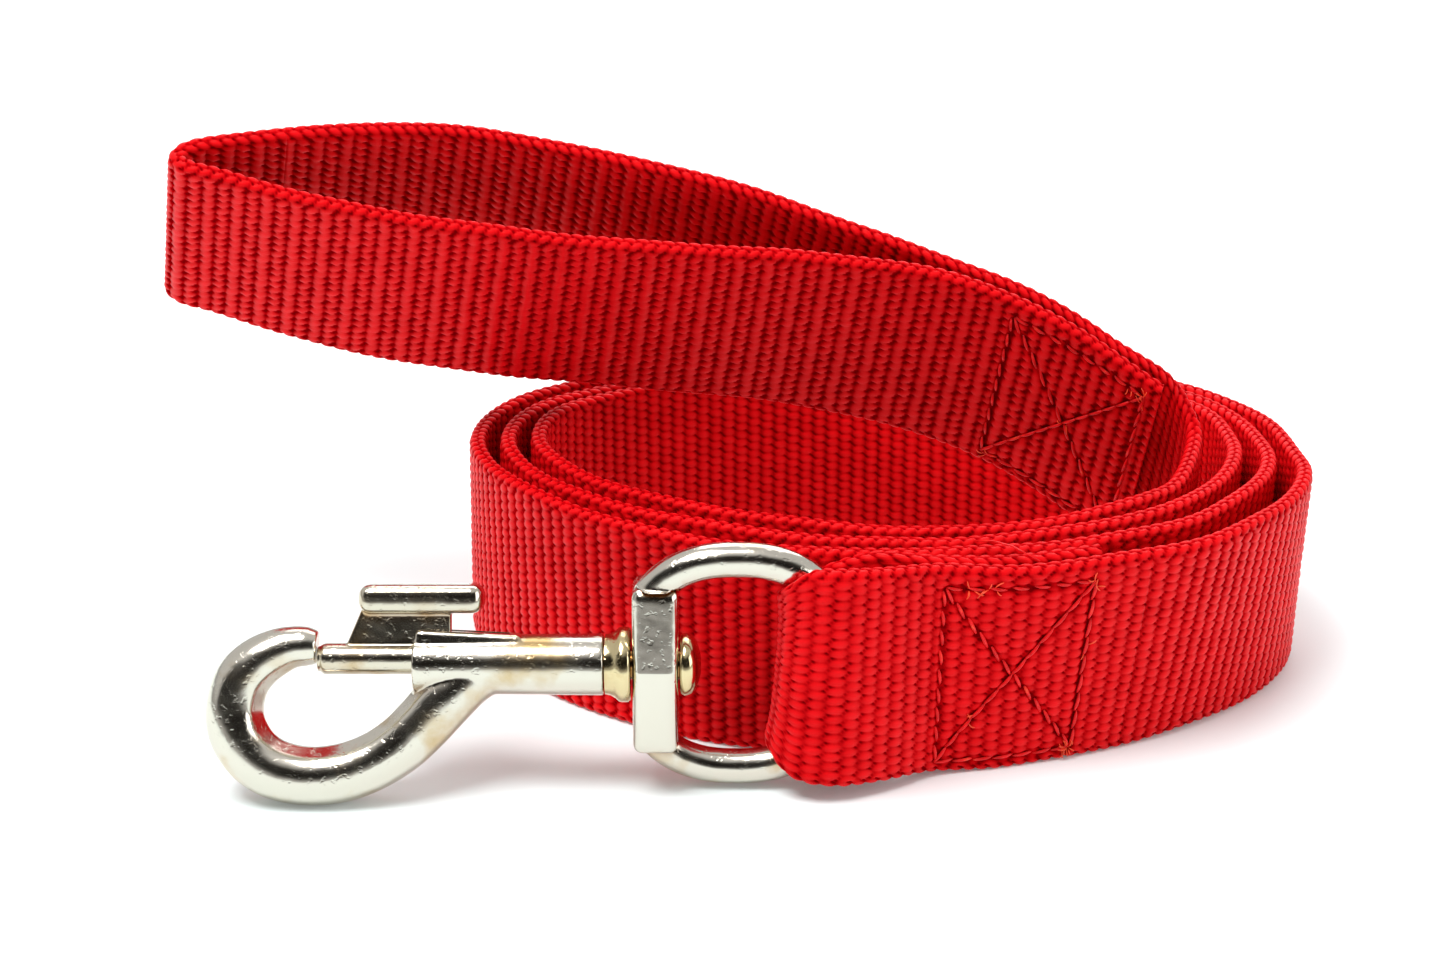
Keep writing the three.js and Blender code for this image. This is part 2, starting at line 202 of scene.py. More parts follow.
# x, y, z of the middle and the top edge's x and y offset per unit of height. Where the eye squeezes the
# strap, the width it is squeezed to and how far its edges curl back follow.
FOLD = [
    (38.4, -27.9, 12.6, 0.083, -0.124),
    (34.2, -29.3, 12.6, 0.067, -0.121),
    (29.2, -30.6, 12.6, 0.047, -0.113),
    (21.0, -32.3, 13.0, 0.02, -0.07),
    (15.8, -32.7, 13.8, 0.0, -0.02, 24.0, 0.9),
    (11.2, -32.6, 14.1, 0.03, 0, 20.6, 1.2),
    (7.8, -33.5, 14.1, 0.05, 0, 17.4, 1.0),
    (5.8, -35.4, 14.1, 0.07, 0, 16.8, 0.8),
    (5.4, -37.6, 14.2, 0.08, 0, 18.6, 0.5),
    (7.3, -39.8, 14.4, 0.07, 0, 23.6, 0.2),
    (11.0, -40.2, 14.2, 0.05, 0, 24.8, 0),
    (16.2, -37.9, 13.6, 0.02, -0.02, 24.9, 0),
    (21.7, -34.7, 12.9, 0.02, -0.07),
]
TURNS = [  # the foremost, furthest right, back and left points of each turn, from the outside in
    ((8.7, -34.7), (67.0, 2.7), (20.7, 39.7), (-31.4, 9.7)),
    ((13.7, -28.9), (63.6, 6.2), (20.7, 37.0), (-27.6, 8.7)),
    ((17.7, -25.7), (60.2, 9.2), (20.7, 34.2), (-23.9, 9.7)),
    ((21.7, -22.5), (57.0, 12.2)),
]
SQUARENESS = (1.85, 2.3, 2.1, 1.8)  # of each quarter's oval, where 2 is a true ellipse
LEAN = (4, 10, 0, 0, 0, 0, -1, 2)  # degrees outwards at each eighth of a turn
TURN_LEAN = (1, 0.8, 0.6, 0.4)  # the inner turns lean less
QUARTER_STEPS = 8
COIL_START = 2  # steps of the first quarter that the fold takes up
COIL_END = 6  # steps of the last quarter before the hand loop starts
HAND_LOOP = [
    (54.9, 5.2, 14.0, 0.03, -0.08),
    (53.4, 9.6, 17.6, 0.08, -0.22),
    (50.4, 10.9, 21.2, 0.12, -0.32),
    (44.7, 11.1, 25.0, 0.13, -0.36),
    (38.9, 12.0, 28.7, 0.13, -0.38),
    (30.6, 13.6, 32.8, 0.13, -0.41),
    (20.1, 15.3, 36.6, 0.13, -0.44),
    (10.8, 17.9, 39.8, 0.14, -0.52),
    (1.7, 20.3, 42.6, 0.15, -0.56),
    (-6.3, 21.5, 44.8, 0.16, -0.58),
    (-15.5, 22.2, 46.9, 0.17, -0.6),
    (-24.8, 22.8, 48.8, 0.19, -0.6),
    (-34.1, 22.7, 50.2, 0.2, -0.6),
    (-42.3, 21.6, 50.9, 0.21, -0.61),
    (-50.3, 19.5, 51.2, 0.23, -0.64),
    (-59.3, 16.5, 51.3, 0.23, -0.67),
    (-65.0, 14.9, 50.8, 0.23, -0.67),
    (-66.9, 13.0, 49.9, 0.23, -0.67),
    (-65.3, 11.3, 49.1, 0.23, -0.67),
    (-61.1, 10.5, 48.2, 0.23, -0.67),
    (-51.7, 9.7, 45.4, 0.23, -0.64),
    (-39.9, 9.1, 42.9, 0.21, -0.6),
    (-27.9, 9.3, 41.2, 0.19, -0.59),
    (-16.0, 10.1, 39.7, 0.17, -0.6),
    (-4.1, 10.8, 38.4, 0.15, -0.57),
    (8.0, 11.5, 37.1, 0.14, -0.53),
    (20.1, 11.3, 35.2, 0.14, -0.44),
    (30.0, 10.8, 32.2, 0.13, -0.41),
    (38.6, 9.2, 27.9, 0.13, -0.38),
    (49.7, 7.9, 20.6, 0.12, -0.34),
]


def quarter_turn(turn, quarter, start, end):
    """The points of a quarter of a rounded oval between two extremes of the coil."""
    power = 2 / SQUARENESS[quarter]
    points = []
    for step in range(QUARTER_STEPS):
        part = step / QUARTER_STEPS
        sine = math.sin(part * math.pi / 2) ** power
        cosine = math.cos(part * math.pi / 2) ** power
        share_x, share_y = (sine, 1 - cosine) if quarter % 2 == 0 else (1 - cosine, sine)
        x = start[0] + (end[0] - start[0]) * share_x
        y = start[1] + (end[1] - start[1]) * share_y
        eighth = 2 * quarter + (part >= 0.5)
        ahead = (2 * part) % 1
        lean = LEAN[eighth] * (1 - ahead) + LEAN[(eighth + 1) % len(LEAN)] * ahead
        tilt = math.radians(lean * TURN_LEAN[turn])
        bearing = math.pi / 2 * (quarter + part - 1)
        out = (math.cos(bearing) * math.tan(tilt), math.sin(bearing) * math.tan(tilt))
        rise = STRAP_WIDTH / 2 * math.cos(tilt) + STRAP_THICK / 2 * abs(math.sin(tilt))
        points.append((x + out[0] * rise, y + out[1] * rise, rise, *out))
    return points


extremes = [point for turn in TURNS for point in turn]
coil = []
for k, (start, end) in enumerate(zip(extremes, extremes[1:])):
    coil += quarter_turn(k // 4, k % 4, start, end)
coil = coil[COIL_START : len(coil) - QUARTER_STEPS + COIL_END]
route = np.array([[*point, STRAP_WIDTH, 0][:7] for point in FOLD + coil + HAND_LOOP])
print(f"the route has {len(route)} points, {len(coil)} of them in the coil")


# %% A smooth curve through the points, in even steps
def through(points, place):
    """The uniform Catmull-Rom curve through points, at places counted in points."""
    first, last = 2 * points[0] - points[1], 2 * points[-1] - points[-2]
    padded = np.vstack([first, points, last])
    k = np.clip(place.astype(int), 0, len(points) - 2)
    t = (place - k)[:, None]
    a, b, c, d = (padded[k + n] for n in range(4))
    bent = 2 * a - 5 * b + 4 * c - d
    return 0.5 * (2 * b + (c - a) * t + bent * t**2 + (3 * b - 3 * c + d - a) * t**3)


FINE = 100  # samples from one point to the next, to measure the length
fine_place = np.linspace(0, len(route) - 1, (len(route) - 1) * FINE + 1)
fine = through(route, fine_place)
fine_length = np.concatenate([[0], np.cumsum(np.linalg.norm(np.diff(fine[:, :3], axis=0), axis=1))])
STRAP_LENGTH = fine_length[-1]
print(f"the strap is {STRAP_LENGTH:.0f} mm long")


def length_at(place):
    """How far along the strap a place of the route is, in millimetres."""
    return float(np.interp(place, fine_place, fine_length))


def strap_frame(along):
    """The strap's middle, width and thickness directions, width and curl, at lengths along it."""
    place = np.interp(along, fine_length, fine_place)
    at = through(route, place)
    step = 0.02
    ahead = through(route, np.clip(place + step, 0, len(route) - 1))[:, :3]
    behind = through(route, np.clip(place - step, 0, len(route) - 1))[:, :3]
    wide = np.column_stack([at[:, 3], at[:, 4], np.ones(len(at))])
    wide /= np.linalg.norm(wide, axis=1)[:, None]
    thick = np.cross(ahead - behind, wide)
    thick /= np.linalg.norm(thick, axis=1)[:, None]
    return at[:, :3], wide, thick, at[:, 5], at[:, 6]


def on_strap(along, across, out):
    """Points in millimetres at lengths along, across and out from the strap's middle surface."""
    middle, wide, thick, width, curl = strap_frame(along)
    squeezed = across * width / STRAP_WIDTH
    points = middle + wide * squeezed[:, None] + thick * out[:, None]
    points[:, 0] -= curl * np.abs(2 * across / STRAP_WIDTH) ** 3
    return points + np.array(CENTRE)


# %% [markdown]
# ## The weave
# Webbing like this is woven so tightly that each lengthwise yarn shows as a row of small pillows, one over
# every second crosswise yarn. Neighbouring yarns take turns, so the pillows lie like bricks and stand in
# ribs across the strap. A bump map alone would leave the edges straight, and it is the edges that make
# it webbing. So the pillows are real geometry, a few points each, and the material only adds the
# filaments. The weave isn't the same everywhere: it is pulled tight in the fold and slants in the hand
# loop. The sewn boxes press a groove into it, and the edge is a braid of two rows of knobs.

# %% Weave heights
RIB = 1.75  # from one rib to the next along the strap
PILLOW = 1.1  # from one pillow to the next across it
PILLOWS_ACROSS = 21
RELIEF = 0.36  # from a pit to the top of a pillow
CORE = STRAP_THICK / 2 - RELIEF + 0.02
EDGE_START = PILLOWS_ACROSS * PILLOW / 2
ACROSS_STEPS = 4 * PILLOWS_ACROSS
ALONG_STEPS = 6  # rings to a rib
EDGE_STEPS = 5  # points on each half of the edge's round
KNOB = 1.55  # from one knob of the braided edge to the next
STITCH_TOP = 10.0  # the stitched box's edges, up and down from the strap's middle line
STITCH_BOTTOM = -11.0
GROOVE_HALF = 0.42  # half the width of the sewing's groove
GROOVE_DEPTH = 0.28
CHANGE = 12  # how long the weave takes to change from one kind to another
SLANT = 0.12  # how far a pillow leans across for each millimetre along
LOOSE_SLANT = 0.3  # what the hand loop adds to that
HALF_LONG = 0.6  # half a pillow's length, in ribs
HALF_BROAD = 0.58 * PILLOW
BRAID_ROWS = (0.27 * np.pi, 0.73 * np.pi)  # the places of the knobs' two rows round the edge
SIZES_ALONG = 997
SIZES_ACROSS = 24
grain = np.random.default_rng(7)
PILLOW_SIZES = grain.uniform(0.82, 1.0, (SIZES_ALONG, SIZES_ACROSS))


def weave(along, across):
    """Height of the woven surface, 0 in its pits to 1 on its pillows.

    Where the strap is sewn round the snap it is pulled and its pillows interlock. In the hand loop,
    where it is pulled the other way, they slant and every second rib is nearly smooth."""
    pulled = np.clip((LOCKED_END - along) / CHANGE, 0, 1)
    loose = np.clip((along - SLANT_START) / CHANGE, 0, 1)
    slant = SLANT + LOOSE_SLANT * loose
    long_half = RIB * (HALF_LONG + 0.08 * pulled)
    rib = np.floor(along / RIB).astype(int)
    best = np.zeros_like(along)
    for near in (-1, 0, 1):
        column = rib + near
        shift = (column % 2) * 0.5
        row = np.round(across / PILLOW - shift)
        ahead = along - (column + 0.5) * RIB
        beside = across - (row + shift) * PILLOW - slant * ahead
        size = PILLOW_SIZES[column % SIZES_ALONG, (row.astype(int) + SIZES_ACROSS // 2) % SIZES_ACROSS]
        smooth = np.where(column % 2 == 0, 1, 0.9 - 0.45 * loose)
        round_part = 1 - (ahead / long_half) ** 2 - smooth * (beside / HALF_BROAD) ** 2
        best = np.maximum(best, np.sqrt(np.maximum(round_part, 0)) * size)
    ribs = 0.5 - 0.5 * np.cos(2 * np.pi * along / RIB)
    share = 0.26 - 0.06 * pulled
    return np.clip((1 - share) * best + share * ribs, 0, 1)


def braid(along, angle):
    """Height of the braided edge, whose knobs stand in two rows and slant towards each other."""
    best = np.zeros_like(along)
    for row, middle in enumerate(BRAID_ROWS):
        off = angle - middle
        place = along / KNOB + 0.5 * row + (0.4 if row else -0.4) * off
        ahead = place - np.round(place)
        round_part = 1 - (ahead / 0.52) ** 2 - (off / 0.88) ** 2
        best = np.maximum(best, np.sqrt(np.maximum(round_part, 0)))
    return best


def box_lines(start, end):
    """The stitched box and its cross, as pairs of (along, across) points."""
    corners = [(start, STITCH_BOTTOM), (end, STITCH_BOTTOM), (end, STITCH_TOP), (start, STITCH_TOP)]
    sides = list(zip(corners, corners[1:] + corners[:1]))
    return sides + [(corners[0], corners[2]), (corners[1], corners[3])]


def groove(along, across, lines):
    """How deep the stitching presses into the strap, 0 to 1."""
    depth = np.zeros_like(along)
    for (a, b), (c, d) in lines:
        way = np.array([c - a, d - b])
        share = np.clip(((along - a) * way[0] + (across - b) * way[1]) / (way @ way), 0, 1)
        off = np.hypot(along - a - share * way[0], across - b - share * way[1])
        depth = np.maximum(depth, np.exp(-((off / GROOVE_HALF) ** 2)))
    return depth


loop_start = len(FOLD) + len(coil)
route_end = len(route) - 1
LOCKED_END = length_at(len(FOLD) + 2)  # where the pulled weave of the fold ends
SLANT_START = length_at(loop_start + 3)  # where the slanting weave of the hand loop starts
HOOK_BOX = box_lines(length_at(len(FOLD) - 1), length_at(len(FOLD) + 0.72))
HAND_BOX = box_lines(length_at(route_end - 1.75), length_at(route_end - 0.16))
HAND_BOX_BACK = box_lines(length_at(loop_start + 2.45), length_at(loop_start + 4.8))


# %% The strap's mesh
def strap_section():
    """One ring of the strap, from just past the top edge round to it again.

    Gives across in millimetres, out and edge as shares, and the angle round an edge."""
    flat = np.linspace(EDGE_START, -EDGE_START, ACROSS_STEPS + 1)
    turn = np.linspace(0, np.pi, 2 * EDGE_STEPS + 1)[1:-1]
    bulge = STRAP_WIDTH / 2 - EDGE_START
    round_edge = EDGE_START + bulge * np.sin(turn)
    across = np.concatenate([flat, -round_edge, -flat, round_edge])
    out = np.concatenate([np.ones(len(flat)), np.cos(turn), -np.ones(len(flat)), -np.cos(turn)])
    edge = np.concatenate([0 * flat, 0 * turn - 1, 0 * flat, 0 * turn + 1])
    angle = np.concatenate([0 * flat, turn, 0 * flat, np.pi - turn])
    return [np.roll(values, EDGE_STEPS - 1) for values in (across, out, edge, angle)]


def cap(ring):
    """Triangles that close a ring, between its two faces."""
    last = len(ring) - 1
    faces = [(last, 0, last - 1)]
    for k in range(len(ring) // 2 - 1):
        faces += [(k, k + 1, last - 1 - k), (k + 1, last - 2 - k, last - 1 - k)]
    return [[ring[n] for n in face] for face in faces[:-1]]  # the last one has no area


def mesh_of(name, points, quads, triangles):
    """A smooth mesh object from arrays of points and faces."""
    mesh = bpy.data.meshes.new(name)
    mesh.vertices.add(len(points))
    mesh.vertices.foreach_set("co", points.ravel())
    corners = np.concatenate([np.ravel(quads), np.ravel(triangles)]).astype(np.int32)
    mesh.loops.add(len(corners))
    mesh.loops.foreach_set("vertex_index", corners)
    starts = np.concatenate([np.arange(len(quads)) * 4, len(quads) * 4 + np.arange(len(triangles)) * 3])
    mesh.polygons.add(len(starts))
    mesh.polygons.foreach_set("loop_start", starts)
    mesh.polygons.foreach_set("use_smooth", np.ones(len(starts), bool))
    mesh.update(calc_edges=True)
    mesh.validate()
    obj = bpy.data.objects.new(name, mesh)
    bpy.context.collection.objects.link(obj)
    return obj


def strap_piece(name, start, end):
    """A closed stretch of woven strap between two lengths along it."""
    step = RIB / ALONG_STEPS
    rings = np.arange(round(start / step), round(end / step) + 1) * step
    section = strap_section()
    count = len(section[0])
    s = np.repeat(rings, count)
    v, o, e, turn = (np.tile(values, len(rings)) for values in section)
    on_edge = np.abs(e) > 0
    # the lower edge's knobs and the back's pillows are moved along, so that they don't repeat the front's
    knobs = braid(s + np.where(e < 0, 0.6, 0), turn)
    height = np.where(on_edge, knobs, weave(s + np.where(o < 0, RIB, 0), v))
    sunk = groove(s, v, HOOK_BOX + HAND_BOX + HAND_BOX_BACK) * (o > 0)
    reach = CORE + RELIEF * height - GROOVE_DEPTH * sunk
    # the edges wander by a tenth of a millimetre or two, and the braid's knobs stand out of them
    wander = 0.12 * np.sin(s / 7.3 + 1.7 * np.sign(v)) + 0.08 * np.sin(s / 2.9 + np.sign(v))
    near_edge = np.clip((np.abs(v) - 9) / 3.5, 0, 1)
    bent = v + wander * near_edge * np.sign(v) + e * 0.4 * (height - 0.8) * np.sin(turn)
    points = on_strap(s, bent, o * reach) * MM
    index = np.arange(len(points)).reshape(len(rings), count)
    beside = np.roll(index, -1, axis=1)
    quads = np.stack([index[:-1], beside[:-1], beside[1:], index[1:]], axis=-1).reshape(-1, 4)
    ends = [face[::-1] for face in cap(index[0])] + cap(index[-1])
    obj = mesh_of(name, points, quads, np.array(ends))
    strap_map = obj.data.attributes.new("strap", "FLOAT_VECTOR", "POINT")
    # painted shade: this share darkens the nylon's colour in the pits, the sewing's grooves and on the edges
    deep = np.clip(1 - height + 0.5 * sunk + 0.15 * on_edge, 0, 1)
    strap_map.data.foreach_set("vector", np.column_stack([s, v, deep]).astype(np.float32).ravel())
    print(f"{name}: {end - start:.1f} mm, {2 * len(quads) + len(ends)} triangles")
    return obj


# %% [markdown]
# ## Nylon
# Webbing of this kind is solution-dyed nylon 6: thousands of clear, bright filaments with the dye inside
# them. So it is shiny along each yarn. Shade is painted into its colour: the pits, the sewing's grooves and
# the edges are painted darker and drawn without shine, and the pillows are left lighter. A fine
# stretched noise stands for the filaments, which are about 0.03 mm thick and drawn four times as coarse.

# %% Nylon material
nylon, tree, shader = new_material("solution-dyed red nylon webbing")
strap_map = add_node(tree, "ShaderNodeAttribute", attribute_name="strap").outputs["Vector"]
deep = add_node(tree, "ShaderNodeSeparateXYZ", {"Vector": strap_map}).outputs["Z"]
yarns = add_node(tree, "ShaderNodeMapping", {"Vector": strap_map, "Scale": (0.9, 5.5, 0)}).outputs[0]
filaments = add_node(tree, "ShaderNodeTexNoise", {"Vector": yarns, "Scale": 1.6, "Detail": 3}).outputs["Fac"]
patches = add_node(tree, "ShaderNodeMapping", {"Vector": strap_map, "Scale": (0.16, 0.3, 0)}).outputs[0]
patches = add_node(tree, "ShaderNodeTexNoise", {"Vector": patches, "Scale": 1.0, "Detail": 2}).outputs["Fac"]
# random patches of tone, plus painted shade that darkens the pits, grooves and edges; the pillows' tops stay
# lightest
tone_and_painted_shade = add_node(tree, "ShaderNodeMath", operation="MULTIPLY_ADD")
tree.links.new(patches, tone_and_painted_shade.inputs[0])
tone_and_painted_shade.inputs[1].default_value = 0.3
tree.links.new(deep, tone_and_painted_shade.inputs[2])
tree.links.new(
    ramp(tree, tone_and_painted_shade.outputs[0], (0.2, "EE121A"), (0.5, "DC0B12"), (0.8, "B2040A"), (1.0, "800005")),
    shader.inputs["Base Color"],
)
bump = add_node(tree, "ShaderNodeBump", {"Height": filaments, "Strength": 0.35, "Distance": 0.0001})
tree.links.new(bump.outputs[0], shader.inputs["Normal"])
shader.inputs["Roughness"].default_value = 0.42
shader.inputs["IOR"].default_value = 1.53
shine = add_node(tree, "ShaderNodeMapRange", {"Value": deep, "From Min": 0.1, "From Max": 0.6})
shine.inputs["To Min"].default_value = 0.28
shine.inputs["To Max"].default_value = 0.0
tree.links.new(shine.outputs[0], shader.inputs["Specular IOR Level"])
shader.inputs["Specular Tint"].default_value = linear("FF7068")

# %% [markdown]
# ## Laying the strap
# The drawing cuts the strap into stretches for its collision shapes, and the same cuts are used here. Each
# stretch is made from the same curve and the same weave, so the ribs run on across the cuts. Each of the
# coil's three turns is cut once more, to keep each mesh a handy size.

# %% Strap pieces
turn_ends = [len(FOLD) - COIL_START + 4 * QUARTER_STEPS * turn for turn in (1, 2, 3)]
STRETCHES = [
    ("webbing_hook_end", 0, len(FOLD) + 1.3),
    ("webbing_outer_turn", len(FOLD) + 1.3, turn_ends[0]),
    ("webbing_second_turn", turn_ends[0], turn_ends[1]),
    ("webbing_third_turn", turn_ends[1], turn_ends[2]),
    ("webbing_riser", turn_ends[2], loop_start + 5.2),
    ("webbing_hand_loop_back", loop_start + 5.2, loop_start + 14.5),
    ("webbing_hand_loop_front", loop_start + 14.5, route_end),
]
LONGEST = 140  # millimetres of strap in one mesh
for node, start, end in STRETCHES:
    first, last = length_at(start), length_at(end)
    parts = math.ceil((last - first) / LONGEST)
    for part in range(parts):
        near, far = (first + (last - first) * (part + n) / parts for n in (0, 1))
        piece = strap_piece(f"{node}_woven_{part + 1}", near, far)
        piece.data.materials.append(nylon)
        if node == "webbing_hook_end":
            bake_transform(piece)
        else:
            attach(piece, "webbing")
        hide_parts(node)

# %% [markdown]
# ## Sewing
# The boxes are sewn with a bonded thread about 0.4 mm thick, pulled tight enough to sink into the webbing,
# so each stitch shows as a short grain that dives at both ends. Each grain is a thin tube along its line
# of the box, sunk in the groove, and a few cut ends of thread stand out as orange fuzz.


# %% Threads
def tubes(name, paths, radius, sides=6):
    """One mesh of closed thin tubes. A path is an array of points in millimetres."""
    points, quads, triangles = [], [], []
    base = 0
    for path in paths:
        along = np.gradient(path, axis=0)
        along /= np.linalg.norm(along, axis=1)[:, None]
        first = np.cross(along, (0.31, 0.45, 0.84))  # a direction that no thread here runs along
        first /= np.linalg.norm(first, axis=1)[:, None]
        second = np.cross(along, first)
        swell = np.sin(np.linspace(0.25, np.pi - 0.25, len(path))) ** 0.5  # thinner towards its ends
        for k, middle in enumerate(path):
            for side in range(sides):
                angle = 2 * np.pi * side / sides
                off = math.cos(angle) * first[k] + math.sin(angle) * second[k]
                points.append(middle + off * radius * swell[k])
        for k in range(len(path) - 1):
            for side in range(sides):
                a, b = base + k * sides + side, base + k * sides + (side + 1) % sides
                quads.append((a, b, b + sides, a + sides))
        end = base + (len(path) - 1) * sides
        for side in range(1, sides - 1):
            triangles.append((base, base + side + 1, base + side))
            triangles.append((end, end + side, end + side + 1))
        base += len(path) * sides
    return mesh_of(name, np.array(points) * MM, np.array(quads), np.array(triangles))


STITCH = 2.3  # from one stitch to the next
STITCH_POINTS = 7
THREAD_RADIUS = 0.2
THREAD_SUNK = 0.33  # the ends of a stitch, below the tops of the pillows
THREAD_HUMP = 0.22  # how far its middle stands above its ends


def stitches(name, lines):
    """The threads of a stitched box on the strap's outer face."""
    paths = []
    for (a, b), (c, d) in lines:
        many = max(3, round(math.hypot(c - a, d - b) / STITCH))
        sunk = 0.1 if b == d else 0  # the stitches along the ribs' gaps sink deepest
        for k in range(many):
            share = (k + np.linspace(0.06, 0.94, STITCH_POINTS)) / many
            hump = np.sin(np.linspace(0, np.pi, STITCH_POINTS))
            out = CORE + RELIEF - THREAD_SUNK - sunk + THREAD_HUMP * hump
            lean = 0.14 * np.linspace(-1, 1, STITCH_POINTS)  # each stitch lies a little askew
            paths.append(on_strap(a + (c - a) * share + lean, b + (d - b) * share + lean, out))
    return tubes(name, paths, THREAD_RADIUS)


thread, tree, shader = new_material("bonded red polyester thread")
where = add_node(tree, "ShaderNodeTexCoord").outputs["Object"]
mottle = add_node(tree, "ShaderNodeTexNoise", {"Vector": where, "Scale": 700, "Detail": 2}).outputs["Fac"]
dyes = ramp(tree, mottle, (0.35, "D40A0E"), (0.62, "F4181C"), (0.8, "FF5030"))
tree.links.new(dyes, shader.inputs["Base Color"])
shader.inputs["Roughness"].default_value = 0.35
shader.inputs["Specular IOR Level"].default_value = 0.25

fuzz_orange, tree, shader = new_material("cut polyester thread ends")
shader.inputs["Base Color"].default_value = linear("F4471C")
shader.inputs["Roughness"].default_value = 0.5

for name, lines in (
    ("stitch_hook_box", HOOK_BOX),
    ("stitch_hand_box_front", HAND_BOX),
    ("stitch_hand_box_back", HAND_BOX_BACK),
):
    piece = stitches(name + "_threads", lines)
    piece.data.materials.append(thread)
    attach(piece, "webbing")
    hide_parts(name)


HAIR_RADIUS = 0.08


def fuzz(name, lines, tufts, seed):
    """Tufts of cut thread that stand out of a stitched box. A tuft is (line, share along it, hairs)."""
    draw = np.random.default_rng(seed)
    paths = []
    for line, share, hairs in tufts:
        (a, b), (c, d) = lines[line]
        for _ in range(hairs):
            spot = share + draw.normal(0, 0.02)
            heading = draw.uniform(0, 2 * np.pi) + np.linspace(0, draw.uniform(-1.5, 1.5), 5)
            stride = draw.uniform(0.15, 0.3)
            along = a + (c - a) * spot + np.cumsum(np.cos(heading)) * stride
            across = b + (d - b) * spot + np.cumsum(np.sin(heading)) * stride
            rise = CORE + RELIEF - 0.12 + draw.uniform(0.1, 0.4) * np.sin(np.linspace(0, 2.4, 5))
            within = STRAP_WIDTH / 2 - 0.3
            paths.append(on_strap(along, np.clip(across, -within, within), rise))
    piece = tubes(name, paths, HAIR_RADIUS, 5)
    piece.data.materials.append(fuzz_orange)
    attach(piece, "webbing")


# lines are numbered bottom, right, top, left, then the two diagonals
HOOK_TUFTS = [(0, 0.97, 14), (2, 0.7, 6), (2, 0.82, 4), (1, 0.98, 6), (1, 0.6, 2), (4, 0.25, 3)]
HAND_TUFTS = [(1, 0.98, 6), (2, 0.1, 3), (4, 0.5, 2), (0, 0.06, 3)]
LOOSE_END = [(25.7, -29.2, 25.6), (27.6, -30.6, 26.1), (29.6, -32.4, 26.2), (32.3, -34.6, 25.4)]
fuzz("hook_box_fuzz", HOOK_BOX, HOOK_TUFTS, 3)
fuzz("hand_box_fuzz", HAND_BOX, HAND_TUFTS, 5)
loose_thread = tubes("loose_thread", [np.array(LOOSE_END) + CENTRE], 0.12)
loose_thread.data.materials.append(thread)
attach(loose_thread, "webbing")

# %% [markdown]
# ## The metal
# The snap is a zinc die casting, tumbled smooth and plated with nickel. Casting and tumbling leave soft,
# slightly wavy surfaces with no sharp corner, so the body is built from plain solids, fused by a voxel
# remesh and smoothed, and only then drilled and slotted. It is made lying along its own barrel axis,
# in millimetres, and is turned and carried to its place at the end.

# %% Snap dimensions
AXIS = Vector((0, -36.3, 14.2))  # a point on the barrel's axis, which runs along X
SNAP_ROLL = math.radians(19.5)  # how far the snap has turned in its swivel
BARREL_LEFT = -34.2
BARREL_RIGHT = -13.9
BARREL_RADIUS = 3.0
BARREL_TAIL_RADIUS = 3.2
BOLT_RISE = 0.6  # the bolt runs a little above the barrel's own axis
BOLT_RADIUS = 1.6
BORE_RADIUS = 1.9
BORE_END = -15.6
SLOT_END = -24.0
RIM_TOP = 3.8  # the rim round the thumb slot
RIM_FALL = -29  # where the rim starts to die away along the barrel
HOOK = [  # x, z and radius of the hook's bar, from its tip round to the barrel
    (-44.5, 1.8, 1.9),
    (-46.6, 1.9, 2),
    (-48.6, 1.4, 2.3),
    (-50.9, 0.1, 2.6),
    (-52.6, -1.9, 2.8),
    (-53.3, -4.7, 2.9),
    (-52.9, -7.3, 3),
    (-51.4, -9.6, 3),
    (-49.0, -11.2, 3),
    (-45.6, -11.9, 2.95),
    (-42.0, -11.6, 2.95),
    (-38.6, -10.4, 2.9),
    (-35.6, -8.5, 2.9),
    (-33.2, -6.2, 2.95),
    (-30.9, -3.7, 3),
    (-28.2, -1.5, 2.7),
    (-25.6, -0.4, 2.3),
]


# %% Helpers for solids
def alone(obj):
    """Makes an object the only one selected, and active."""
    bpy.ops.object.select_all(action="DESELECT")
    obj.select_set(True)
    bpy.context.view_layer.objects.active = obj
    return obj


def modified(obj, kind, **settings):
    """Adds a modifier, gives it its settings and applies it."""
    alone(obj)
    modifier = obj.modifiers.new(kind, kind)
    for name, value in settings.items():
        setattr(modifier, name, value)
    bpy.ops.object.modifier_apply(modifier=modifier.name)
    return obj


def rod(left, right, radius, right_radius=None, rise=0.0, sides=96):
    """A round bar along X."""
    bpy.ops.mesh.primitive_cone_add(
        vertices=sides,
        radius1=radius,
        radius2=right_radius or radius,
        depth=right - left,
        location=((left + right) / 2, 0, rise),
        rotation=(0, math.pi / 2, 0),
    )
    bpy.ops.object.transform_apply()
    return bpy.context.object


def block(low, high, bevel=0.0):
    """A box between two corners, with its edges rounded."""
    low, high = Vector(low), Vector(high)
    bpy.ops.mesh.primitive_cube_add(size=1, location=(low + high) / 2, scale=high - low)
    bpy.ops.object.transform_apply()
    obj = bpy.context.object
    if bevel:
        modified(obj, "BEVEL", width=bevel, segments=4)
    return obj


def cast(name, parts, voxel, smooth):
    """Fuses overlapping parts into one casting with soft corners."""
    bpy.ops.object.select_all(action="DESELECT")
    for part in parts:
        part.select_set(True)
    bpy.context.view_layer.objects.active = parts[0]
    bpy.ops.object.join()
    obj = bpy.context.object
    obj.name = name
    modified(obj, "REMESH", mode="VOXEL", voxel_size=voxel, use_smooth_shade=True)
    modified(obj, "SMOOTH", factor=0.5, iterations=smooth)
    return obj


def drilled(obj, *tools):
    """Cuts tools out of a solid, and removes them."""
    for tool in tools:
        modified(obj, "BOOLEAN", operation="DIFFERENCE", solver="EXACT", object=tool)
        bpy.data.objects.remove(tool)
    return obj


